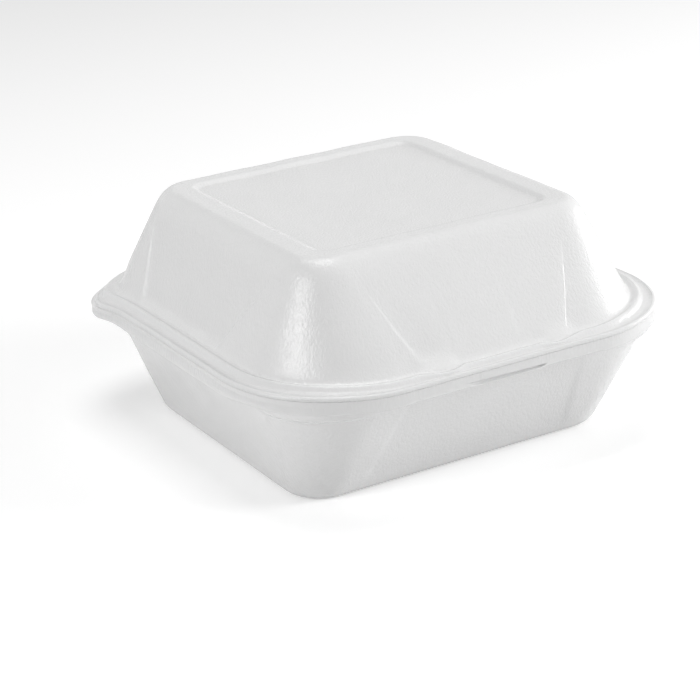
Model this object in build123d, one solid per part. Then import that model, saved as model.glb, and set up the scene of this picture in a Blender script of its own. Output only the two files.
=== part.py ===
from build123d import *

import os
from collections import namedtuple

# Hinged foam clamshell box, closed. Millimetres, +Z up, origin at the centre of the foot.
# X runs along the hinge, the latch is on the -Y side and the hinge on the +Y side.

# One level of a shell: the rounded rectangle that its skin has at height z.
# The sides lie at +-half_x, the front at -front and the back at +rear.
Level = namedtuple("Level", "half_x front rear front_radius rear_radius z")

# Sheet
sheet = 2.5                 # wall measured level, from skin to skin
floor_sheet = 2.2           # floor of the base and roof of the lid
edge_steps = 4              # facets in each rounded edge

# Rims of both shells
rim_half_x = 74.0
rim_front = 79.5
rim_rear = 74.5
rim_front_radius = 40.0
rim_rear_radius = 27.0
rim_depth = 4.3             # height of the base rim's turned-down face
rim_lower_edge = 1.6        # size of the rounded edge under that face
rim_face = 2.2              # thickness of the turned-down face
rim_gap = 0.3               # air between the closed rims
channel_wall = 0.6          # foam between the bowl and the hollow behind the face
droop_depth = 2.2           # how much lower the face hangs at the rear corners
droop_half_length = 14.0
droop_slope = 10.0

# Base bowl: its walls lean out from the floor to the underside of the rim
base_height = 41.5
side_overhang = 5.1         # from the bowl to the edge of the rim
front_overhang = 4.9
rear_overhang = 4.9
side_lean = 13.3            # how far each wall leans out over its height
front_lean = 23.0
rear_lean = 18.0
foot_radius = 12.4
foot_edge = 3.0             # size of the rounded edge under the foot
bowl_tightening = 12.0      # how much smaller the bowl's upper corner radius is than the rim's
mouth_tightening = 7.0      # the same for the corners of the base's opening
ledge_drop = 7.6            # foot of the corner ledge below the top of the rim
ledge_rise = 1.0            # height of the ledge's slanted underside
ledge_tightening = 4.0      # how much smaller the corner radius is above the ledge

# Bead pressed along the lid's rim
lip_thickness = 1.0         # outer edge of the lid
lip_slope = 0.1             # rise of the lip towards the bead
bead_height = 1.4           # crest of the bead above the lip
bead_inset = 3.6            # from the lid's edge to the middle of the bead
bead_tightening = 0.8       # how much smaller the bead's front corner radii are than the rim's
bead_rear_tightening = 1.5  # the same for its rear corner radii
bead_foot_half = 2.1        # half width of the bead at its foot
bead_crest_half = 0.6       # half width of its crest
bead_hollow = 0.8           # depth of the groove pressed under the bead
groove_width = 0.8          # from the foot of the lid's wall to the bead

# Lid walls and crown: the walls lean in from their foot to the plane of the top
box_height = 75.1
lid_side_setback = 7.6      # from the edge of the rim to the foot of the wall
lid_front_setback = 6.4
lid_rear_setback = 5.5
lid_front_tightening = 5.0  # how much smaller the foot's front corner radii are than the rim's
lid_side_lean = 15.5
lid_front_lean = 22.3
lid_rear_lean = 18.2
wall_foot_rise = 1.2        # height of the slanted transition at the foot of the wall
crown_radius = 12.0
crown_edge = 3.6            # how far the rounded edge reaches in over the top
crown_edge_drop = 7.0       # how far it reaches down the wall
side_border = 10.1          # width of the border round the recess, from the planes of the walls
end_border = 8.9
recess_radius = 4.7
recess_depth = 1.0
recess_slope = 1.0

# Panels in the lid's walls: one sunk in each side and in the rear, and two raised in the front, beside
# the latch. Between them the corners reach along each wall, least at the top.
panel_depth = 1.3
panel_step = 1.2            # width of the slanted step where the panel is deepest
panel_top_drop = 7.6        # from the top of the lid to the top of the panels
panel_foot_rise = 1.6       # height over which the panel's foot slants in
panel_clearance = 1.0       # how far outside the skin the slice that sinks a panel starts
back_corner_foot = 40.9     # reach of each corner along the rear wall
back_corner_middle = 29.9
back_corner_top = 18.9
side_corner_foot = 53.1     # reach of the front corners along the side walls
side_corner_middle = 37.3
side_corner_top = 20.1
rear_corner_foot = 36.5     # reach of the rear corners along the side walls
rear_corner_middle = 25.1
rear_corner_top = 14.1
front_rise = 0.8            # how far the front panels stand out above their foot
front_flare = 2.2           # how far they stand out at their foot
front_flare_height = 4.0
front_field_half_width = 13.0   # of the plain field between them, above the latch
front_panel_foot = 12.5     # width of each front panel
front_panel_middle = 17.6
front_panel_top = 22.6

# Latch at the middle of the front
latch_half_width = 14.0
latch_slot = 1.4            # height of the slot in the base rim's face
latch_slot_depth = 1.4
latch_lip = 1.2             # height of the lip below the slot

# Hinge strip, folded round the line that the lid turns about
hinge_half_length = 40.0
hinge_thickness = 0.8
hinge_reach = 0.8           # from the backs of the rims to the line that the lid turns about
hinge_join = 0.5            # where the strip leaves each rim, above or below the gap

bowl_radius = rim_front_radius - bowl_tightening
bowl_half_x = rim_half_x - side_overhang
bowl_front = rim_front - front_overhang
bowl_rear = rim_rear - rear_overhang
rim_bottom = base_height - rim_depth
lid_bottom = base_height + rim_gap
lip_top = lid_bottom + lip_thickness
bead_top = lip_top + bead_height
panel_top = box_height - panel_top_drop
panel_middle = (lip_top + panel_top) / 2


def inset(level, distance, z=None):
    """The level drawn in by a distance all round, at its own height or another."""
    return Level(
        level.half_x - distance,
        level.front - distance,
        level.rear - distance,
        max(level.front_radius - distance, 1.0),
        max(level.rear_radius - distance, 1.0),
        level.z if z is None else z,
    )


def between(low, high, z):
    """The level at height z on the straight skin through two levels."""
    share = (z - low.z) / (high.z - low.z)
    return Level(*[a + share * (b - a) for a, b in zip(low, high)])


def outline(level):
    """Closed wire of one level, with four straight sides and four arcs."""
    x, front, rear = level.half_x, -level.front, level.rear
    front_radius, rear_radius = level.front_radius, level.rear_radius
    corners = (
        (x - front_radius, front + front_radius, front_radius, 270),
        (x - rear_radius, rear - rear_radius, rear_radius, 0),
        (rear_radius - x, rear - rear_radius, rear_radius, 90),
        (front_radius - x, front + front_radius, front_radius, 180),
    )
    arcs = [
        CenterArc((centre_x, centre_y, level.z), radius, start, 90)
        for centre_x, centre_y, radius, start in corners
    ]
    edges = []
    for arc, following in zip(arcs, arcs[1:] + arcs[:1]):
        edges.append(arc.edge())
        edges.append(Line(arc @ 1, following @ 0).edge())
    return Wire(edges)


def skin(levels):
    """Closed solid through a stack of levels."""
    return Solid.make_loft([outline(level) for level in levels], ruled=True)


def rounded_foot(low, high, size):
    """Levels of the rounded edge between a flat underside and a sloping wall."""
    levels = []
    for step in range(edge_steps + 1):
        share = step / edge_steps
        line = between(low, high, low.z + size * share**2)
        levels.append(inset(line, size * (1 - share) ** 2))
    return levels


def rounded_crown(low, high, reach, drop):
    """Levels of the rounded edge between a sloping wall and a flat top."""
    levels = []
    for step in range(edge_steps + 1):
        share = step / edge_steps
        line = between(low, high, high.z - drop * (1 - share) ** 2)
        levels.append(inset(line, reach * share**2))
    return levels


def base_foot(z):
    """Where the planes of the base's walls meet its floor."""
    return Level(
        bowl_half_x - side_lean, bowl_front - front_lean, bowl_rear - rear_lean,
        foot_radius, foot_radius, z,
    )


def base_brim(z, radius):
    """Where the planes of the base's walls meet the underside of its rim."""
    return Level(bowl_half_x, bowl_front, bowl_rear, radius, radius, z)


def rim_edge(z):
    """Outer edge of both rims."""
    return Level(rim_half_x, rim_front, rim_rear, rim_front_radius, rim_rear_radius, z)


def lid_foot():
    """Foot of the lid's wall, as it is at the corners."""
    return Level(
        rim_half_x - lid_side_setback,
        rim_front - lid_front_setback,
        rim_rear - lid_rear_setback,
        rim_front_radius - lid_front_tightening,
        rim_rear_radius,
        lip_top,
    )


def lid_crown():
    """Where the planes of the lid's walls meet the plane of its top."""
    foot = lid_foot()
    return Level(
        foot.half_x - lid_side_lean, foot.front - lid_front_lean, foot.rear - lid_rear_lean,
        crown_radius, crown_radius, box_height,
    )


def bead_line(z):
    """Middle of the bead along the lid's rim."""
    return inset(rim_edge(z), bead_inset)._replace(
        front_radius=rim_front_radius - bead_tightening,
        rear_radius=rim_rear_radius - bead_rear_tightening,
    )


def base_walls():
    """Outside of the bowl up to the rim, with the ledge round its upper corners."""
    foot = base_foot(0)
    brim = base_brim(rim_bottom, bowl_radius)
    ledge_z = base_height - ledge_drop
    under_ledge = between(foot, brim, ledge_z)
    over_ledge = between(foot, brim, ledge_z + ledge_rise)
    over_ledge = over_ledge._replace(
        front_radius=over_ledge.front_radius - ledge_tightening,
        rear_radius=over_ledge.rear_radius - ledge_tightening,
    )
    top = base_brim(rim_bottom + rim_lower_edge, bowl_radius - ledge_tightening)
    return skin(rounded_foot(foot, brim, foot_edge) + [under_ledge, over_ledge, top])


def drooping_corner(side):
    """Deeper stretch of the rim's face round one rear corner."""
    ramp_top = rim_bottom + rim_lower_edge
    profile = Polyline(
        (-droop_half_length - droop_slope, ramp_top),
        (-droop_half_length, rim_bottom - droop_depth),
        (droop_half_length, rim_bottom - droop_depth),
        (droop_half_length + droop_slope, ramp_top),
        close=True,
    )
    wedge = extrude(make_face(Plane.XZ * profile), amount=-2 * rim_rear_radius)
    corner_x = side * (rim_half_x - rim_rear_radius)
    wedge = Pos(corner_x, rim_rear - rim_rear_radius, 0) * Rot(Z=-45 * side) * wedge
    low = rim_edge(rim_bottom - droop_depth)
    high = low._replace(z=ramp_top)
    return skin(rounded_foot(low, high, rim_lower_edge) + [high]) & wedge


def base_rim():
    """Flat rim with its turned-down face, before the bowl is hollowed out."""
    low = rim_edge(rim_bottom)
    high = rim_edge(base_height)
    rim = skin(rounded_foot(low, high, rim_lower_edge) + [high])
    for side in (-1, 1):
        rim += drooping_corner(side)
    return rim


def rim_channels():
    """Hollows behind the base rim's face, along its four straight sides."""
    depth = rim_depth - floor_sheet
    z = rim_bottom + depth / 2
    side_length = rim_front + rim_rear - rim_front_radius - rim_rear_radius
    side_middle = (rim_rear - rim_rear_radius - rim_front + rim_front_radius) / 2
    end_length = 2 * (rim_half_x - rim_front_radius)
    channels = []
    for side in (-1, 1):
        width = rim_half_x - rim_face - bowl_half_x - channel_wall
        middle = bowl_half_x + channel_wall + width / 2
        channels.append(Pos(side * middle, side_middle, z) * Box(width, side_length, depth))
    for side, wall, edge in ((-1, bowl_front, rim_front), (1, bowl_rear, rim_rear)):
        width = edge - rim_face - wall - channel_wall
        middle = wall + channel_wall + width / 2
        channels.append(Pos(0, side * middle, z) * Box(end_length, width, depth))
    return channels


def base_cavity():
    """Inside of the base, open at the top."""
    foot = inset(base_foot(0), sheet)
    mouth_radius = rim_front_radius - mouth_tightening
    brim = inset(base_brim(rim_bottom, mouth_radius + sheet), sheet)
    floor = between(foot, brim, floor_sheet)
    mouth = between(foot, brim, base_height + rim_gap)
    return skin(rounded_foot(floor, mouth, foot_edge + sheet) + [mouth])


def latch_slot_and_lip():
    """Slot in the front of the base's rim, and the lip that closes it below."""
    lip_bottom = rim_bottom - latch_lip / 2
    slot_z = lip_bottom + latch_lip + latch_slot / 2
    slot = Pos(0, -rim_front, slot_z) * Box(2 * latch_half_width, 2 * latch_slot_depth, latch_slot)
    lip_depth = rim_front - bowl_front + sheet / 2
    lip = Pos(0, lip_depth / 2 - rim_front, lip_bottom + latch_lip / 2)
    return slot, lip * Box(2 * latch_half_width, lip_depth, latch_lip)


def make_base():
    """Lower shell."""
    slot, lip = latch_slot_and_lip()
    base = base_walls() + base_rim()
    for channel in rim_channels():
        base -= channel
    return base + lip - slot - base_cavity()


def panel_slab(wall, left, right, rows, side, shift=0.0):
    """Slab that sinks or raises one wall panel against the skin beside it.

    It is drawn for a wall that faces -Y. wall gives the skin's distance from the middle at a
    height, and left and right give the panel's ends at its foot, half way up and at its top. rows
    gives four heights with the panel's depth at each, side is 1 where the panel is sunk and -1
    where it is raised, and shift moves the slab inward.
    """
    slant = panel_step / panel_depth
    polygons = []
    for row, (z, depth) in enumerate(rows):
        limit = max(row - 1, 0)
        y = shift - wall(z)
        polygons.append(Wire.make_polygon([
            (left[limit] - panel_clearance * slant, y - side * panel_clearance, z),
            (right[limit] + panel_clearance * slant, y - side * panel_clearance, z),
            (right[limit] - depth * slant, y + side * depth, z),
            (left[limit] + depth * slant, y + side * depth, z),
        ]))
    return Solid.make_loft(polygons, ruled=True)


def panel_rows(bottom, foot_depth, depth_top, depth):
    """Heights and depths of a panel that gets shallower from above its foot to its top."""
    middle_share = (panel_top - panel_middle) / (panel_top - lip_top)
    return (
        (bottom, foot_depth),
        (depth_top, depth),
        (panel_middle, depth * middle_share),
        (panel_top + 1, -0.04 * depth),
    )


def wall_levels():
    """The lid's walls at the panels' foot, half way up and at their top."""
    return [between(lid_foot(), lid_crown(), z) for z in (lip_top, panel_middle, panel_top)]


def minus(values):
    return [-value for value in values]


def sunk_panels(shift=0.0):
    """The slabs that sink the panels in the sides and in the rear of the lid."""
    levels = wall_levels()
    back_reach = (back_corner_foot, back_corner_middle, back_corner_top)
    side_reach = (side_corner_foot, side_corner_middle, side_corner_top)
    rear_reach = (rear_corner_foot, rear_corner_middle, rear_corner_top)
    ends = [level.half_x - reach for level, reach in zip(levels, back_reach)]
    fronts = [level.front - reach for level, reach in zip(levels, side_reach)]
    rears = [level.rear - reach for level, reach in zip(levels, rear_reach)]
    foot_start = lip_top + 0.2 * panel_foot_rise
    rows = panel_rows(foot_start, 0.2 * panel_depth, lip_top + panel_foot_rise, panel_depth)

    def half_x(z):
        return between(lid_foot(), lid_crown(), z).half_x

    def rear(z):
        return between(lid_foot(), lid_crown(), z).rear

    return [
        Rot(Z=90) * panel_slab(half_x, minus(fronts), rears, rows, 1, shift),
        Rot(Z=180) * panel_slab(rear, minus(ends), ends, rows, 1, shift),
        Rot(Z=-90) * panel_slab(half_x, minus(rears), fronts, rows, 1, shift),
    ]


def raised_panels(bottom, shift=0.0):
    """The slabs that raise the front panels, from a given height up."""
    widths = (front_panel_foot, front_panel_middle, front_panel_top)
    outer = [front_field_half_width + width for width in widths]
    inner = [front_field_half_width] * len(outer)
    rows = panel_rows(bottom, front_flare, lip_top + front_flare_height, front_rise)

    def front(z):
        return between(lid_foot(), lid_crown(), z).front

    return [
        panel_slab(front, minus(outer), minus(inner), rows, -1, shift),
        panel_slab(front, inner, outer, rows, -1, shift),
    ]


def lid_outside():
    """Outside of the lid: lip, bead, groove, walls and rounded crown."""
    edge = rim_edge(lip_top)
    foot, crown = lid_foot(), lid_crown()
    levels = [
        edge._replace(z=lid_bottom),
        edge,
        inset(bead_line(lip_top + lip_slope), -bead_foot_half),
        inset(bead_line(bead_top), -bead_crest_half),
        inset(bead_line(bead_top), bead_crest_half),
        inset(foot, -groove_width, lip_top + lip_slope),
        between(foot, crown, lip_top + wall_foot_rise),
    ]
    return skin(levels + rounded_crown(foot, crown, crown_edge, crown_edge_drop))


def bead_hollow_ring():
    """Groove pressed into the underside of the lid's rim, under the bead."""
    bottom, top = lid_bottom - rim_gap, lid_bottom + bead_hollow
    outer = [inset(bead_line(z), -bead_crest_half) for z in (bottom, top)]
    inner = [inset(bead_line(z), bead_crest_half) for z in (bottom, top)]
    return skin(outer) - skin(inner)


def recess(drop=0.0, grow=0.0):
    """Sunk field inside the raised border of the lid's top."""
    crown = lid_crown()
    top = Level(
        crown.half_x - side_border + grow,
        crown.front - end_border + grow,
        crown.rear - end_border + grow,
        recess_radius, recess_radius, box_height - drop,
    )
    return skin([inset(top, recess_slope, top.z - recess_depth), top])


def lid_cavity():
    """Inside of the lid, open at the bottom, with its skin following the panels."""
    foot = inset(lid_foot(), sheet)
    crown = inset(lid_crown(), sheet)
    mouth = between(foot, crown, lid_bottom - rim_gap)
    roof = between(foot, crown, box_height - floor_sheet)
    cavity = skin([mouth] + rounded_crown(mouth, roof, crown_edge, crown_edge_drop))
    for slab in raised_panels(mouth.z, sheet):
        cavity += slab
    for slab in sunk_panels(sheet):
        cavity -= slab
    return cavity - recess(floor_sheet, recess_slope)


def make_lid():
    """Upper shell."""
    lid = lid_outside() - recess()
    for slab in raised_panels(lip_top):
        lid += slab
    for slab in sunk_panels():
        lid -= slab
    return lid - bead_hollow_ring() - lid_cavity()


def make_hinge():
    """Crushed strip of the sheet, folded double behind the closed rims."""
    upper = lid_bottom + hinge_join
    lower = base_height - hinge_join
    pivot_y = rim_rear + hinge_reach
    pivot_z = base_height + rim_gap / 2
    section = Polyline((rim_rear, upper), (rim_rear, upper + hinge_thickness))
    section += ThreePointArc(
        (rim_rear, upper + hinge_thickness),
        (pivot_y + hinge_thickness, pivot_z),
        (rim_rear, lower - hinge_thickness),
    )
    section += Polyline((rim_rear, lower - hinge_thickness), (rim_rear, lower))
    section += ThreePointArc((rim_rear, lower), (pivot_y, pivot_z), (rim_rear, upper))
    strip = extrude(make_face(Plane.YZ * section), amount=hinge_half_length, both=True)
    return strip


os.makedirs("parts", exist_ok=True)
export_step(make_base(), "parts/base.step")
export_step(make_lid(), "parts/lid.step")
export_step(make_hinge(), "parts/hinge.step")
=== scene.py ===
import math
from collections import namedtuple

import bpy
import numpy as np
from mathutils import Matrix, Vector, noise


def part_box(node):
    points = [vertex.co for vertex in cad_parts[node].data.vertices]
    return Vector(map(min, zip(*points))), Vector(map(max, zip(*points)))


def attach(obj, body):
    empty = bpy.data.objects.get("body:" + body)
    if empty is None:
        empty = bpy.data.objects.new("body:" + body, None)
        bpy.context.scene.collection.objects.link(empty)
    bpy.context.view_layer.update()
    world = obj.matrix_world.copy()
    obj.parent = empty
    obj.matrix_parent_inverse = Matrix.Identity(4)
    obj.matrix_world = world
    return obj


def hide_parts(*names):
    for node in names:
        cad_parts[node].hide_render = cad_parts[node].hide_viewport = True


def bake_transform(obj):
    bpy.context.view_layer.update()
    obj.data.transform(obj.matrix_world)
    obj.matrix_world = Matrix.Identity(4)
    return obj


# Looks of a hinged foam clamshell box. Sizes here are millimetres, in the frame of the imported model:
# X runs along the hinge, the latch is on the -Y side, and Z is up from the foot.

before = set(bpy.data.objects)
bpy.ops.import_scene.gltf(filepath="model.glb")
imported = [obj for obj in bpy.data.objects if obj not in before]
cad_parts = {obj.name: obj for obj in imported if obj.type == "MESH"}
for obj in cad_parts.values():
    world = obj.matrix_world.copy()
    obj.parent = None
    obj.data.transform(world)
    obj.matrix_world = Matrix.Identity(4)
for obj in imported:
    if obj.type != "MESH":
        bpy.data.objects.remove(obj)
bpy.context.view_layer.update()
MM = 0.001

# One level of a shell: the rounded rectangle that its skin has at height z.
Level = namedtuple("Level", "half_x front rear front_radius rear_radius z")

# Main sizes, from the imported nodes
base_low, base_high = [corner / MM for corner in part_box("base")]
lid_low, lid_high = [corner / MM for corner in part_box("lid")]
rim_half_x = lid_high.x
rim_front = -lid_low.y
rim_rear = lid_high.y
base_height = base_high.z
lid_bottom = lid_low.z
box_height = lid_high.z

# Rims
sheet = 2.5
floor_sheet = 2.2
rim_front_radius = 40.0
base_rear_radius = 25.5
lid_rear_rim_radius = 30.0
rim_depth = 4.3
rim_rounding = 1.6
edge_rounding = 0.15
lip_rounding = 0.95
seat_gap = 0.06             # between the closed rims
seat_drop = 0.2             # of the line where they meet below the middle of the solids' gap
face_hollow = 0.35          # depth of the soft hollow along the sides of the base rim's face
face_hollow_z = 39.8
face_hollow_half = 0.8
front_rounding = 2.2        # height of the rounded lower edge along the front of the rim
side_skirt = 1.4            # how much deeper the base rim's face is along the sides
skirt_width = 3.5           # from the rim's edge inward to where the skirt ends
skirt_fade = 2.5            # width over which it sets in
skirt_fade_height = 2.0
skirt_rear = (20.0, 44.0)   # from here to here, along y, it fades towards the rear corners
skirt_front = (-30.0, -52.0)
channel_depth = 2.1
channel_start = 0.12        # ends of the channel behind the rim's face, as shares of the overhang
channel_end = 0.57
channel_narrowest = 2.5     # overhang below which there is no channel, and how much more makes it full
channel_growth = 1.5
rounding_share = 0.4        # of the overhang that the rim's lower rounding takes at most
fold_start = 40.3           # sum of the distances from the sides' and the rear's edges to the fold line
fold_slope = 0.265
fold_softness = 6.0
fold_height = 9.0           # above and below the rims, where the walls still follow the fold
fold_rear = (38.0, 50.0)    # along x: the rear edge is straight before the first, folded beyond the second

# Base bowl
side_overhang = 5.1
front_overhang = 4.9
rear_overhang = 4.9
side_lean = 13.3
front_lean = 23.0
rear_lean = 18.0
foot_radius = 12.4
foot_edge = 3.0
bowl_radius = 28.0
mouth_radius = 33.0
ledge_drop = 7.6
ledge_rise = 1.6
ledge_tightening = 4.0
mouth_rounding = 1.2        # width and height of the rounded edge round the bowl's mouth
mouth_rounding_height = 1.4

# Lid rim
lip_thickness = 1.0
bead_height = 1.4
bead_inset = 3.6
bead_side_inset = 4.5
bead_rear_inset = 2.9
groove_rise = 0.8           # how much higher than the lip's edge the groove behind the bead is
bead_front_radius = 39.2
bead_rear_radius = 25.5
bead_rear_spread = 4.2      # how much more the bead widens inward at the rear corners
bead_half = 1.7
bead_fullness = 0.75        # below 1 its section is fuller than a plain wave
valley_inset = 1.15         # shallow valley between the rounded lip and the bead
valley_depth = 0.15
bead_hollow = 0.8
bead_hollow_half = 1.3
groove_width = 0.5

# Lid walls and crown
lid_side_setback = 7.6
lid_front_setback = 6.4
lid_rear_setback = 5.5
lid_front_radius = 35.0
lid_rear_radius = 27.0
lid_side_lean = 15.5
lid_front_lean = 22.3
lid_rear_lean = 18.2
fillet_height = 5.0         # of the hollow curve at the foot of the lid's wall
crown_radius = 12.0
crown_edge = 3.6
crown_edge_drop = 7.0
side_border = 10.1
end_border = 8.9
recess_radius = 4.7
recess_depth = 1.0
recess_edge = 1.4           # half width of the soft edge of the recess

# Panels in the lid's walls: one sunk in each side and in the rear. In the front the wall steps in at the left
# crease, swells out towards the latch and steps back at the right crease. The panels' ends are given at the
# foot, half way up and at the top.
panel_depth = 1.3
panel_step = 1.2
panel_rounding = 0.15
panel_top = box_height - 7.6
panel_foot_start = 1.2      # above the lip, where the panels begin to fade in
panel_foot_end = 5.2        # where the front's are full
sunk_foot_end = 2.4         # where the sunk ones are full
front_panel_end = (25.5, 30.6, 35.6)
side_panel_front = (20.0, 27.3, 35.9)
side_panel_rear = (32.5, 36.9, 41.0)
front_rise = 0.9            # how proud the front is above the latch
front_left_step = 2.2       # widths of the steps at the two creases
front_right_step = 0.8
field_left = 13.0           # ends of the part above the latch, on the right at a faint crease
field_right = 8.0
field_step = 1.6
left_share = -0.9           # shares of the rise at the left crease, left of the field and right of it
middle_share = 0.7
right_share = 0.75
flare_depth = 2.2           # how far the foot of the front panels swings out over the rim
flare_height = 5.5
flare_start = 0.6           # from the rim's edge, where the flare begins
flare_width = 3.6
flare_outer = (20.0, 30.0)  # the flare fades from here to here towards the corners
flare_inner = (13.0, 18.5)  # and grows from here to here away from the latch
flare_least = 0.3           # share of it that is left above the latch
flare_flattening = 0.45     # share of the bead's height that is lost where the flare is full

# Latch
latch_half = 13.5
latch_step = 4.0
latch_slot_top = 38.9
latch_slot_bottom = 37.6
latch_slot_taper = 0.3      # how much higher its top is at the left end, and lower at the right
latch_slot_depth = 1.3
latch_slot_edges = (0.25, 0.6)  # heights of its lower and upper slanted edge
latch_lip_back = 0.35       # of the lip below the slot behind the rim's face
latch_lip_rounding = 0.3

# Soft creases in the front wall of the base: where each stands at the foot and at the rim
base_crease = (37.5, 31.0)
base_crease_step = 1.6
base_crease_depth = 0.4
base_crease_foot = 8.0      # heights over which it fades, from the foot and below the rim
base_crease_head = 6.0

# Slight unevenness of pressed foam
warp_size = 0.22
warp_spacing = 15.0
warp_seed = 1               # without one the noise would differ in every run
warp_start = 4.0            # height at which it is full, so that the box stands flat

# Hinge strip
hinge_half = 40.0
hinge_thickness = 0.8
hinge_reach = 0.8           # of its inner side behind the rims
hinge_join = 0.5            # how far above and below the gap it is joined to the rims
hinge_overlap = 0.2         # how far the strip reaches into the rims

lip_top = lid_bottom + lip_thickness
rim_bottom = base_height - rim_depth
rim_seat = (base_height + lid_bottom) / 2 - seat_drop
base_seat = rim_seat - seat_gap / 2
lid_seat = rim_seat + seat_gap / 2
corner_steps = 28
first_level = 1.0           # height of a wall's first level beyond a rounded edge
mouth_level = 0.6           # and beyond the lid's mouth
flat_shares = (0.985, 0.93, 0.8, 0.6, 0.4, 0.2, 0.08)   # rings that fill a flat face from its edge inward


def smooth(share):
    """0 below 0, 1 above 1, and a smooth rise between."""
    share = np.clip(share, 0.0, 1.0)
    return share * share * (3 - 2 * share)


def inset(level, distance, z=None):
    """The level drawn in by a distance all round, at its own height or another."""
    return Level(
        level.half_x - distance,
        level.front - distance,
        level.rear - distance,
        max(level.front_radius - distance, 0.5),
        max(level.rear_radius - distance, 0.5),
        level.z if z is None else z,
    )


def mix(first, second, share):
    """The level part of the way from one level to another."""
    return Level(*[a + share * (b - a) for a, b in zip(first, second)])


def between(low, high, z):
    """The level at height z on the straight skin through two levels."""
    return mix(low, high, (z - low.z) / (high.z - low.z))


def shrunk(level, share):
    """The level drawn in towards the middle by a factor."""
    return Level(*[share * value for value in level[:5]], level.z)


def bezier(start, middle, end, share):
    """Level on the curve that leaves start towards middle and arrives at end from it."""
    return mix(mix(start, middle, share), mix(middle, end, share), share)


def wall_marks(start, end, stops, counts):
    """Places along one wall: each stretch between the stops is divided evenly."""
    least = 0.05
    marks = [start]
    for index, stop in enumerate(stops):
        highest = end - least * (len(stops) - index)
        marks.append(min(max(stop, marks[-1] + least), highest))
    marks.append(end)
    stretches = zip(marks, marks[1:], counts)
    return np.concatenate([np.linspace(a, b, count, endpoint=False) for a, b, count in stretches])


def ring(level, stops, counts):
    """Points round one level: front, right, rear and left wall, each followed by its corner."""
    x, front, rear = level.half_x, level.front, level.rear
    front_radius, rear_radius = level.front_radius, level.rear_radius
    walls = (
        (front_radius - x, x - front_radius, front, front_radius),
        (front_radius - front, rear - rear_radius, x, rear_radius),
        (rear_radius - x, x - rear_radius, rear, rear_radius),
        (rear_radius - rear, front - front_radius, x, front_radius),
    )
    angles = np.linspace(0, math.pi / 2, corner_steps, endpoint=False)
    parts = []
    for turn, (start, end, distance, radius) in enumerate(walls):
        along = wall_marks(start, end, stops[turn], counts[turn])
        arc_along = end + radius * np.sin(angles)
        arc_out = radius * (1 - np.cos(angles)) - distance
        along, out = np.append(along, arc_along), np.append(np.full(len(along), -distance), arc_out)
        for _ in range(turn):
            along, out = -out, along
        parts.append(np.stack([along, out], axis=1))
    return np.concatenate(parts)


def outward(counts):
    """Outward direction of each column of points."""
    parts = []
    for turn, wall in enumerate(counts):
        angles = np.append(np.zeros(sum(wall)), np.linspace(0, math.pi / 2, corner_steps, endpoint=False))
        angles += math.pi / 2 * (turn - 1)
        parts.append(np.stack([np.cos(angles), np.sin(angles)], axis=1))
    return np.concatenate(parts)


def column_weights(counts, profiles):
    """A weight for each column: profiles gives each wall's value at its marks, 0 round the corners."""
    parts = []
    for wall, values in zip(counts, profiles):
        for first, second, count in zip(values, values[1:], wall):
            shares = smooth(np.linspace(0, 1, count, endpoint=False))
            parts.append(first + (second - first) * shares)
        parts.append(np.zeros(corner_steps))
    return np.concatenate(parts)


def fade(value, stops):
    """0 before the first stop, 1 beyond the second, and smooth between; the stops may fall or rise."""
    return smooth((value - stops[0]) / (stops[1] - stops[0]))


def fold(points):
    """How far the rims hang down where they fold at the rear corners, at each point."""
    away = np.abs(points[:, 0])
    reach = (away - rim_half_x + points[:, 1] - rim_rear + fold_start) / math.sqrt(2)
    return fade(away, fold_rear) * fold_slope * (reach + np.sqrt(reach**2 + fold_softness**2)) / 2


def flare(points):
    """The points with the foot of the front wall swung out over the rim beside the latch."""
    away = np.abs(points[:, 0])
    least = flare_least + (1 - flare_least) * fade(away, flare_inner)
    share = least * (1 - fade(away, flare_outer)) * (points[:, 1] < 0)
    from_edge = points[:, 1] + rim_front
    above = points[:, 2] - lip_top
    across = smooth((from_edge - flare_start) / flare_width)
    out = flare_depth * share * across * (1 - smooth(above / flare_height))
    on_rim = 1 - smooth((from_edge - lid_front_setback + groove_width) / groove_width)
    lower = flare_flattening * share * on_rim * np.maximum(above, 0)
    return points - np.column_stack([np.zeros(len(points)), out, lower])


def warp(points):
    """The points moved a little, as pressed foam is never quite even."""
    moved = np.array([noise.noise_vector(Vector(point) / warp_spacing) for point in points])
    return points + warp_size * smooth(points[:, 2] / warp_start)[:, None] * moved


def along_points(values, z):
    """Value at height z of what is given at the foot, half way up and at the top of the panels."""
    heights = (lip_top + panel_foot_start, (lip_top + panel_top) / 2, panel_top)
    return float(np.interp(z, heights, values))


def closed_mesh(name, rows):
    """Mesh through a list of rings, each closed all round, with a face over the first and the last."""
    count = len(rows[0])
    faces = [tuple(reversed(range(count)))]
    for row in range(len(rows) - 1):
        low, high = row * count, (row + 1) * count
        for column in range(count):
            following = (column + 1) % count
            faces.append((low + column, low + following, high + following, high + column))
    last = (len(rows) - 1) * count
    faces.append(tuple(range(last, last + count)))
    mesh = bpy.data.meshes.new(name)
    mesh.from_pydata((warp(np.concatenate(rows)) * MM).tolist(), [], faces)
    mesh.shade_smooth()
    mesh.update()
    piece = bpy.data.objects.new(name, mesh)
    bpy.context.scene.collection.objects.link(piece)
    return piece


# Lid

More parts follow.
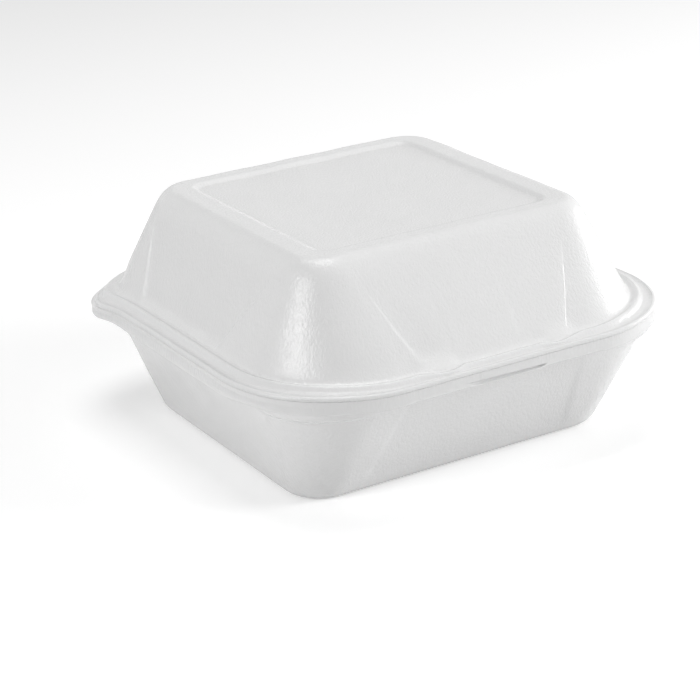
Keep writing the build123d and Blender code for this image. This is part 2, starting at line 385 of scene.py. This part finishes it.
# Number of points in each stretch between the stops of the front, right, rear and left wall
LID_COUNTS = (
    (8, 5, 7, 4, 12, 4, 7, 5, 8),
    (8, 5, 34, 5, 8),
    (8, 5, 34, 5, 8),
    (8, 5, 34, 5, 8),
)
SUNK = (0, 0, 1, 1, 0, 0)
LID_SUNK = column_weights(LID_COUNTS, ((0,) * 10, SUNK, SUNK, SUNK))
LID_RAISED = column_weights(
    LID_COUNTS,
    (
        (0, 0, left_share, middle_share, 1, 1, right_share, right_share, 0, 0),
        (0,) * 6, (0,) * 6, (0,) * 6,
    ),
)
LID_OUTWARD = outward(LID_COUNTS)


def panel_taper(z):
    """Share of a panel's depth that it has at height z."""
    return min(max((panel_top - z) / (panel_top - lip_top), 0.0), 1.0)


def lid_stops(z):
    """Where the panels' steps stand along each wall at height z."""
    taper = panel_taper(z)

    def end(values, step):
        outer = along_points(values, z) + panel_rounding
        return outer, outer - step * taper - 2 * panel_rounding

    left_outer, left_inner = end(front_panel_end, front_left_step)
    outer, inner = end(front_panel_end, front_right_step)
    field = [-field_left - field_step, -field_left, field_right, field_right + field_step]
    front = [-left_outer, -left_inner] + field + [inner, outer]
    outer, inner = end(front_panel_end, panel_step)
    back = [-outer, -inner, inner, outer]
    front_outer, front_inner = end(side_panel_front, panel_step)
    rear_outer, rear_inner = end(side_panel_rear, panel_step)
    right = [-front_outer, -front_inner, rear_inner, rear_outer]
    left = [-rear_outer, -rear_inner, front_inner, front_outer]
    return [front, right, back, left]


def lid_row(level):
    """Ring of points of the lid at one level, with its panels, its flared foot and its folded rim."""
    plan = ring(level, lid_stops(level.z), LID_COUNTS)
    above = level.z - lip_top
    sunk_foot = float(fade(above, (panel_foot_start, sunk_foot_end)))
    raised_foot = float(fade(above, (panel_foot_start, panel_foot_end)))
    sink = panel_depth * sunk_foot * LID_SUNK - front_rise * raised_foot * LID_RAISED
    sink = panel_taper(level.z) * sink
    plan = plan - LID_OUTWARD * sink[:, None]
    points = flare(np.column_stack([plan, np.full(len(plan), level.z)]))
    points[:, 2] -= fold(plan) * (1 - float(smooth((level.z - lip_top) / fold_height)))
    return points


def lid_foot():
    """Foot of the lid's wall, as it is at the corners."""
    return Level(
        rim_half_x - lid_side_setback, rim_front - lid_front_setback, rim_rear - lid_rear_setback,
        lid_front_radius, lid_rear_radius, lip_top,
    )


def lid_crown():
    """Where the planes of the lid's walls meet the plane of its top."""
    foot = lid_foot()
    return Level(
        foot.half_x - lid_side_lean, foot.front - lid_front_lean, foot.rear - lid_rear_lean,
        crown_radius, crown_radius, box_height,
    )


def rim_edge(z, rear_radius=base_rear_radius):
    """Outer edge of the rims; the lid's is rounder than the base's at the rear corners."""
    return Level(rim_half_x, rim_front, rim_rear, rim_front_radius, rear_radius, z)


def bead_line(offset, z):
    """Line beside the middle of the bead, outward by an offset."""
    middle = inset(rim_edge(z), bead_inset)
    spread = bead_rear_spread * max(-offset / bead_half, 0.0)
    middle = middle._replace(
        half_x=rim_half_x - bead_side_inset, rear=rim_rear - bead_rear_inset,
        front_radius=bead_front_radius, rear_radius=bead_rear_radius + spread,
    )
    return inset(middle, -offset)


def rounded_edge(z, size, upward, rear_radius):
    """Levels over a rounded outer edge of a rim, which starts or ends at height z."""
    levels = []
    for share in (0.0, 0.25, 0.5, 0.75, 1.0) if upward else (1.0, 0.75, 0.5, 0.25, 0.0):
        rise = size * share**2 * (1 if upward else -1)
        levels.append(inset(rim_edge(z + rise, rear_radius), size * (1 - share) ** 2))
    return levels


def lid_rim():
    """Levels of the lid's rim from its lower edge over the bead to the groove."""
    levels = rounded_edge(lid_seat, edge_rounding, True, lid_rear_rim_radius)
    levels += rounded_edge(lip_top, lip_rounding, False, lid_rear_rim_radius)
    valley = inset(rim_edge(lip_top - valley_depth, lid_rear_rim_radius), valley_inset)
    levels += [mix(levels[-1], valley, 0.5), valley]
    for step in range(21):
        across = 1 - step / 10
        lowest = groove_rise if across < 0 else 0.0
        rise = lowest + (bead_height - lowest) * float(smooth(1 - abs(across)) ** bead_fullness)
        levels.append(bead_line(bead_half * across, lip_top + rise))
    return levels


def crown_levels(low, high, steps):
    """Levels of the rounded edge between a sloping wall and a flat top."""
    levels = []
    for step in range(steps + 1):
        share = step / steps
        line = between(low, high, high.z - crown_edge_drop * (1 - share) ** 2)
        levels.append(inset(line, crown_edge * share**2))
    return levels


def top_levels(outer, drop):
    """Levels over the raised border and the recess inside it, ending near the middle."""
    crown = lid_crown()
    z = box_height - drop
    middle = Level(
        crown.half_x - side_border, crown.front - end_border, crown.rear - end_border,
        recess_radius, recess_radius, z,
    )
    brink = inset(middle, -recess_edge)
    levels = [mix(outer, brink, share) for share in (0.15, 0.5, 0.85)]
    for step in range(9):
        share = step / 8
        depth = recess_depth * float(smooth(share))
        levels.append(inset(brink, 2 * recess_edge * share, z - depth))
    levels += [shrunk(levels[-1], share) for share in flat_shares]
    return levels


def wall_levels(low, high, start, end, spacing):
    """Levels on a straight skin from one height to another."""
    steps = max(round(abs(end - start) / spacing), 1)
    return [between(low, high, start + (end - start) * step / steps) for step in range(steps)]


def lid_outside_levels():
    """Levels from the lid's lower edge to the middle of its top."""
    foot, crown = lid_foot(), lid_crown()
    levels = lid_rim()
    groove = inset(foot, -groove_width, lip_top + groove_rise)
    wall_start = between(foot, crown, lip_top + fillet_height)
    levels.append(mix(levels[-1], groove, 0.5))
    corner = between(foot, crown, lip_top + groove_rise)
    levels += [bezier(groove, corner, wall_start, step / 10) for step in range(10)]
    levels += wall_levels(foot, crown, wall_start.z, box_height - crown_edge_drop, spacing=1.2)
    levels += crown_levels(foot, crown, 14)
    return levels + top_levels(levels[-1], 0.0)


def lid_inside_levels():
    """Levels from the middle of the roof's underside down to the lid's lower edge."""
    foot = inset(lid_foot(), sheet)
    crown = inset(lid_crown(), sheet)
    roof = between(foot, crown, box_height - floor_sheet)
    mouth = between(foot, crown, lid_seat)
    levels = [mouth]
    levels += wall_levels(foot, crown, lid_seat + mouth_level, roof.z - crown_edge_drop, spacing=1.4)
    levels += crown_levels(foot, roof, 10)
    levels += top_levels(levels[-1], floor_sheet)
    levels.reverse()
    levels.append(mix(mouth, bead_line(-bead_hollow_half, lid_seat), 0.5))
    for step in range(11):
        across = 1 - step / 5
        rise = bead_hollow * float(smooth(1 - abs(across)))
        levels.append(bead_line(-bead_hollow_half * across, lid_seat + rise))
    levels.append(mix(levels[-1], rim_edge(lid_seat, lid_rear_rim_radius), 0.5))
    return levels


def make_lid():
    """Upper shell."""
    levels = lid_inside_levels() + lid_outside_levels()
    return closed_mesh("lid_shell", [lid_row(level) for level in levels])


# Base

# The latch lies in the middle stretch of the front wall, the creases in its second and its last but one
BASE_COUNTS = ((6, 4, 6, 8, 14, 8, 6, 4, 6), (40,), (40,), (40,))
BASE_LATCH = column_weights(BASE_COUNTS, ((0, 0, 0, 0, 1, 1, 0, 0, 0, 0), (0, 0), (0, 0), (0, 0)))
BASE_FIELD = column_weights(BASE_COUNTS, ((0, 0, 1, 1, 1, 1, 1, 1, 0, 0), (0, 0), (0, 0), (0, 0)))
BASE_OUTWARD = outward(BASE_COUNTS)
# How far each column faces the front and the sides, falling off fast round the corners
BASE_FRONT = np.maximum(-BASE_OUTWARD[:, 1], 0) ** 4
BASE_SIDE = BASE_OUTWARD[:, 0] ** 4


def base_stops(z):
    """Where the creases and the latch's ends stand along the front wall at height z."""
    crease = float(np.interp(z, (0, rim_bottom), base_crease))
    marks = [crease + base_crease_step, crease - base_crease_step]
    marks += [latch_half + latch_step, latch_half - latch_step]
    return [[-mark for mark in marks] + marks[::-1], [], [], []]


def base_row(level, creased=0.0):
    """Ring of points of the base at one level, with its front wall sunk a little between the creases."""
    plan = ring(level, base_stops(level.z), BASE_COUNTS)
    plan = plan - BASE_OUTWARD * (creased * base_crease_depth * BASE_FIELD)[:, None]
    return np.column_stack([plan, np.full(len(plan), level.z)])


def skirt(points):
    """How much deeper the rim's face is along the sides, at each point."""
    along = (1 - fade(points[:, 1], skirt_rear)) * (1 - fade(points[:, 1], skirt_front))
    at_edge = smooth((np.abs(points[:, 0]) - rim_half_x + skirt_width) / skirt_fade)
    return side_skirt * along * at_edge * smooth((face_hollow_z - points[:, 2]) / skirt_fade_height)


def hung(points):
    """The points with the rim deeper along the sides and hanging down at the rear corners."""
    share = smooth((points[:, 2] - rim_bottom + fold_height) / fold_height)
    return np.column_stack([points[:, :2], points[:, 2] - skirt(points) - fold(points) * share])


def base_foot(z):
    """Where the planes of the base's walls meet its floor."""
    return Level(
        rim_half_x - side_overhang - side_lean, rim_front - front_overhang - front_lean,
        rim_rear - rear_overhang - rear_lean, foot_radius, foot_radius, z,
    )


def base_brim(z, radius):
    """Where the planes of the base's walls meet the underside of its rim."""
    return Level(
        rim_half_x - side_overhang, rim_front - front_overhang, rim_rear - rear_overhang,
        radius, radius, z,
    )


def rounded_foot(low, high, size, steps):
    """Levels of the rounded edge between a flat underside and a sloping wall."""
    levels = []
    for step in range(steps + 1):
        share = step / steps
        line = between(low, high, low.z + size * share**2)
        levels.append(inset(line, size * (1 - share) ** 2))
    return levels


def base_wall_rows():
    """Rings from the middle of the underside up the outside of the bowl to the rim."""
    foot = base_foot(0)
    brim = base_brim(rim_bottom, bowl_radius)
    rounding = rounded_foot(foot, brim, foot_edge, 10)
    levels = [shrunk(rounding[0], share) for share in reversed(flat_shares)] + rounding
    ledge_z = base_height - ledge_drop
    levels += wall_levels(foot, brim, foot_edge + first_level, ledge_z - ledge_rise / 2, spacing=1.5)
    for step in range(9):
        share = step / 8
        line = between(foot, brim, ledge_z - ledge_rise / 2 + ledge_rise * share)
        tighter = ledge_tightening * float(smooth(share))
        levels.append(line._replace(
            front_radius=line.front_radius - tighter, rear_radius=line.rear_radius - tighter
        ))
    top = base_brim(rim_bottom, bowl_radius - ledge_tightening)
    levels += [mix(levels[-1], top, share) for share in (0.3, 0.6, 0.9)]
    levels.append(top)
    rows = []
    for level in levels:
        creased = smooth(level.z / base_crease_foot) * smooth((rim_bottom - level.z) / base_crease_head)
        rows.append(base_row(level, float(creased)))
    return rows


def base_rim_rows(wall):
    """Rings from the top of the bowl's wall through the channel and up the face of the rim."""
    edge = base_row(rim_edge(rim_bottom))
    across = edge - wall
    overhang = np.linalg.norm(across, axis=1)
    deep = smooth((overhang - channel_narrowest) / channel_growth) * channel_depth * (1 - BASE_LATCH)

    def row(share, rise):
        points = wall + across * np.broadcast_to(share, overhang.shape)[:, None]
        points[:, 2] = rim_bottom + rise
        return points

    # Section of the channel: share of the way to the edge, and share of the channel's depth
    section = (
        (channel_start / 2, 0.0),
        (channel_start, 0.15),
        (channel_start + 0.02, 0.85),
        (channel_start + 0.06, 1.0),
        (channel_end - 0.06, 1.0),
        (channel_end - 0.02, 0.85),
        (channel_end, 0.15),
        (channel_end + 0.04, 0.0),
    )
    rows = [row(share, deep * height) for share, height in section]
    rounding = rim_rounding + (latch_lip_rounding - rim_rounding) * BASE_LATCH
    rounding = np.minimum(rounding, rounding_share * overhang)
    height = rounding + (front_rounding - rim_rounding) * BASE_FRONT * (1 - BASE_LATCH)
    back = latch_lip_back * BASE_LATCH
    for step in range(9):
        share = step / 8
        rows.append(row(1 - (rounding * (1 - share) ** 2 + back) / overhang, height * share**2))
    return rows


def rim_face_rows(start):
    """Rings up the face of the rim, softly hollow, with the latch's slot pushed in at the front."""
    rows = []
    lower_edge, upper_edge = latch_slot_edges
    low = start[:, 2]
    high = base_seat - edge_rounding
    edge = base_row(rim_edge(high))
    top = latch_slot_top - latch_slot_taper * edge[:, 0] / latch_half
    for share in np.linspace(0, 1, 28)[1:]:
        z = low + (high - low) * share
        hollow = face_hollow * np.exp(-(((z - face_hollow_z) / face_hollow_half) ** 2)) * BASE_SIDE
        below_top = smooth((top - z) / upper_edge)
        slot = latch_slot_depth * smooth((z - latch_slot_bottom) / lower_edge) * below_top
        lip = latch_lip_back * below_top
        depth = hollow + np.maximum(slot, lip) * BASE_LATCH
        plan = edge[:, :2] - BASE_OUTWARD * depth[:, None]
        rows.append(np.column_stack([plan, z]))
    return rows


def base_top_levels():
    """Levels from the rim's top edge over the mouth and down to the middle of the floor."""
    foot = inset(base_foot(0), sheet)
    brim = inset(base_brim(rim_bottom, mouth_radius + sheet), sheet)
    floor = between(foot, brim, floor_sheet)
    mouth = between(foot, brim, base_seat)
    levels = rounded_edge(base_seat, edge_rounding, False, base_rear_radius)
    brink = inset(mouth, -mouth_rounding)
    levels += [mix(levels[-1], brink, share) for share in (0.33, 0.66)]
    wall_start = between(foot, brim, base_seat - mouth_rounding_height)
    levels += [bezier(brink, mouth, wall_start, step / 6) for step in range(6)]
    rounding = rounded_foot(floor, mouth, foot_edge + sheet, 10)
    levels += wall_levels(foot, brim, wall_start.z, rounding[-1].z + first_level, spacing=1.6)
    levels += reversed(rounding)
    levels += [shrunk(rounding[0], share) for share in flat_shares]
    return levels


def make_base():
    """Lower shell."""
    rows = base_wall_rows()
    rows += base_rim_rows(rows[-1])
    rows += rim_face_rows(rows[-1])
    rows += [base_row(level) for level in base_top_levels()[1:]]
    return closed_mesh("base_shell", [hung(row) for row in rows])


# Hinge strip

def make_hinge():
    """Crushed strip of the sheet, folded double behind the closed rims."""
    upper = lid_bottom + hinge_join
    lower = base_height - hinge_join
    middle = (base_height + lid_bottom) / 2
    half = (upper - lower) / 2
    steps = 24
    section = []
    for thickness in (hinge_thickness, 0.0):
        side = []
        for step in range(steps + 1):
            angle = math.pi * (step / steps - 0.5)
            reach = (hinge_reach + thickness) * math.cos(angle)
            side.append((rim_rear - hinge_overlap + reach, middle + (half + thickness) * math.sin(angle)))
        section += side if thickness else side[::-1]
    across = np.linspace(-hinge_half, hinge_half, 41)
    rows = [np.array([(x, y, z) for y, z in section]) for x in across]
    return closed_mesh("hinge_strip", rows)


# Materials

def nodes_of(name):
    """A new material's node tree, emptied, with its output."""
    material = bpy.data.materials.new(name)
    material.use_nodes = True
    tree = material.node_tree
    tree.nodes.clear()
    output = tree.nodes.new("ShaderNodeOutputMaterial")
    return material, tree, output


def noise_texture(tree, place, scale, detail):
    """Noise over the coordinates that come from a socket."""
    texture = tree.nodes.new("ShaderNodeTexNoise")
    texture.inputs["Scale"].default_value = scale
    texture.inputs["Detail"].default_value = detail
    tree.links.new(place, texture.inputs["Vector"])
    return texture


def bump(tree, height, distance, strength):
    """Bump by the height that comes from a socket."""
    node = tree.nodes.new("ShaderNodeBump")
    node.inputs["Distance"].default_value = distance
    node.inputs["Strength"].default_value = strength
    tree.links.new(height, node.inputs["Height"])
    return node


def foam_material():
    """White polystyrene foam with a pressed skin: satin and faintly crinkled."""
    material, tree, output = nodes_of("foam_white")
    shader = tree.nodes.new("ShaderNodeBsdfPrincipled")
    shader.inputs["Base Color"].default_value = (0.85, 0.85, 0.85, 1)
    shader.inputs["Roughness"].default_value = 0.23
    shader.inputs["IOR"].default_value = 1.5
    shader.inputs["Specular IOR Level"].default_value = 0.7
    shader.inputs["Subsurface Weight"].default_value = 0.12
    shader.inputs["Subsurface Radius"].default_value = (0.002, 0.002, 0.002)
    shader.inputs["Subsurface Scale"].default_value = 1.0
    place = tree.nodes.new("ShaderNodeTexCoord")
    stretch = tree.nodes.new("ShaderNodeMapping")
    stretch.inputs["Scale"].default_value = (1, 1, 0.3)
    tree.links.new(place.outputs["Object"], stretch.inputs["Vector"])
    crinkle = noise_texture(tree, stretch.outputs["Vector"], scale=1300, detail=3)
    crinkle.inputs["Roughness"].default_value = 0.6
    wave = noise_texture(tree, place.outputs["Object"], scale=60, detail=2)
    soft_bump = bump(tree, wave.outputs["Fac"], distance=0.0006, strength=0.25)
    fine_bump = bump(tree, crinkle.outputs["Fac"], distance=0.0003, strength=0.6)
    tree.links.new(soft_bump.outputs["Normal"], fine_bump.inputs["Normal"])
    tree.links.new(fine_bump.outputs["Normal"], shader.inputs["Normal"])
    tree.links.new(shader.outputs["BSDF"], output.inputs["Surface"])
    return material


def seen_directly(tree):
    """Socket that is 1 where the camera looks, also in a reflection or through glass."""
    path = tree.nodes.new("ShaderNodeLightPath")
    total = path.outputs["Is Camera Ray"]
    for name in ("Is Glossy Ray", "Is Transmission Ray"):
        either = tree.nodes.new("ShaderNodeMath")
        either.operation = "MAXIMUM"
        tree.links.new(total, either.inputs[0])
        tree.links.new(path.outputs[name], either.inputs[1])
        total = either.outputs["Value"]
    return total


def floor_material():
    """Pale floor that shows white to the camera and keeps the shadow of the box."""
    material, tree, output = nodes_of("floor_white")
    diffuse = tree.nodes.new("ShaderNodeBsdfDiffuse")
    diffuse.inputs["Color"].default_value = (0.9, 0.9, 0.9, 1)
    glow = tree.nodes.new("ShaderNodeEmission")
    glow.inputs["Strength"].default_value = 0.35
    total = tree.nodes.new("ShaderNodeAddShader")
    tree.links.new(diffuse.outputs["BSDF"], total.inputs[0])
    tree.links.new(glow.outputs["Emission"], total.inputs[1])
    choice = tree.nodes.new("ShaderNodeMixShader")
    tree.links.new(seen_directly(tree), choice.inputs["Fac"])
    tree.links.new(diffuse.outputs["BSDF"], choice.inputs[1])
    tree.links.new(total.outputs["Shader"], choice.inputs[2])
    tree.links.new(choice.outputs["Shader"], output.inputs["Surface"])
    return material


# Stage

camera_place = Vector((-333.8, -570.5, 280.4))
camera_yaw = 29.70
camera_tilt = 21.39
camera_roll = 2.90
focal_pixels = 2181.0
image_pixels = 700.0
light_target = Vector((0.0, 0.0, 0.04))   # in metres: middle of the box


def make_camera():
    """Camera at the photograph's place, fitted to the box's edges."""
    data = bpy.data.cameras.new("camera")
    data.sensor_width = 36.0
    data.lens = data.sensor_width * focal_pixels / image_pixels
    data.clip_start = 0.05
    data.clip_end = 20.0
    camera = bpy.data.objects.new("camera", data)
    bpy.context.scene.collection.objects.link(camera)
    yaw = math.radians(camera_yaw)
    tilt = math.radians(camera_tilt)
    ahead = Vector((math.sin(yaw) * math.cos(tilt), math.cos(yaw) * math.cos(tilt), -math.sin(tilt)))
    level_right = Vector((math.cos(yaw), -math.sin(yaw), 0))
    right = Matrix.Rotation(math.radians(camera_roll), 3, ahead) @ level_right
    up = right.cross(ahead)
    turned = Matrix((right, up, -ahead)).transposed()
    camera.matrix_world = Matrix.Translation(camera_place * MM) @ turned.to_4x4()
    bpy.context.scene.camera = camera


def area_light(name, place, width, height, power, glossy=True):
    """Soft light aimed at the middle of the box; without glossy it leaves no highlight."""
    data = bpy.data.lights.new(name, "AREA")
    data.shape = "RECTANGLE"
    data.size = width
    data.size_y = height
    data.energy = power
    light = bpy.data.objects.new(name, data)
    bpy.context.scene.collection.objects.link(light)
    place = Vector(place)
    light.location = place
    light.visible_glossy = glossy
    light.rotation_mode = "QUATERNION"
    light.rotation_quaternion = (light_target - place).to_track_quat("-Z", "Y")


def make_world():
    """Plain white surround: white to the camera and in reflections, dimmer as a light."""
    world = bpy.data.worlds.new("studio")
    bpy.context.scene.world = world
    world.use_nodes = True
    tree = world.node_tree
    tree.nodes.clear()
    output = tree.nodes.new("ShaderNodeOutputWorld")
    seen = tree.nodes.new("ShaderNodeBackground")
    seen.inputs["Color"].default_value = (1, 1, 1, 1)
    ambient = tree.nodes.new("ShaderNodeBackground")
    ambient.inputs["Strength"].default_value = 0.24
    choice = tree.nodes.new("ShaderNodeMixShader")
    tree.links.new(seen_directly(tree), choice.inputs["Fac"])
    tree.links.new(ambient.outputs["Background"], choice.inputs[1])
    tree.links.new(seen.outputs["Background"], choice.inputs[2])
    tree.links.new(choice.outputs["Shader"], output.inputs["Surface"])


def make_floor():
    """Large level floor under the box."""
    mesh = bpy.data.meshes.new("floor")
    half = 6.0
    corners = [(-half, -half, 0), (half, -half, 0), (half, half, 0), (-half, half, 0)]
    mesh.from_pydata(corners, [], [(0, 1, 2, 3)])
    floor = bpy.data.objects.new("floor", mesh)
    bpy.context.scene.collection.objects.link(floor)
    mesh.materials.append(floor_material())


noise.seed_set(warp_seed)
foam = foam_material()
lid = make_lid()
base = make_base()
hinge = make_hinge()
for piece, node in ((lid, "lid"), (base, "base"), (hinge, "hinge")):
    piece.data.materials.append(foam)
    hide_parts(node)
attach(lid, "lid")
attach(base, "base")
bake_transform(hinge)

make_camera()
make_world()
make_floor()
area_light("left_strip", (-0.75, -0.13, 0.37), 0.05, 0.42, 2.05)
area_light("front_softbox", (0.9, -0.7, 0.45), 0.5, 0.5, 7.6, glossy=False)
area_light("right_softbox", (0.9, 0.0, 0.2), 0.3, 0.3, 1.6)
area_light("top_softbox", (0.0, 0.1, 1.1), 0.6, 0.6, 4.0)
bpy.context.scene.view_settings.view_transform = "Standard"
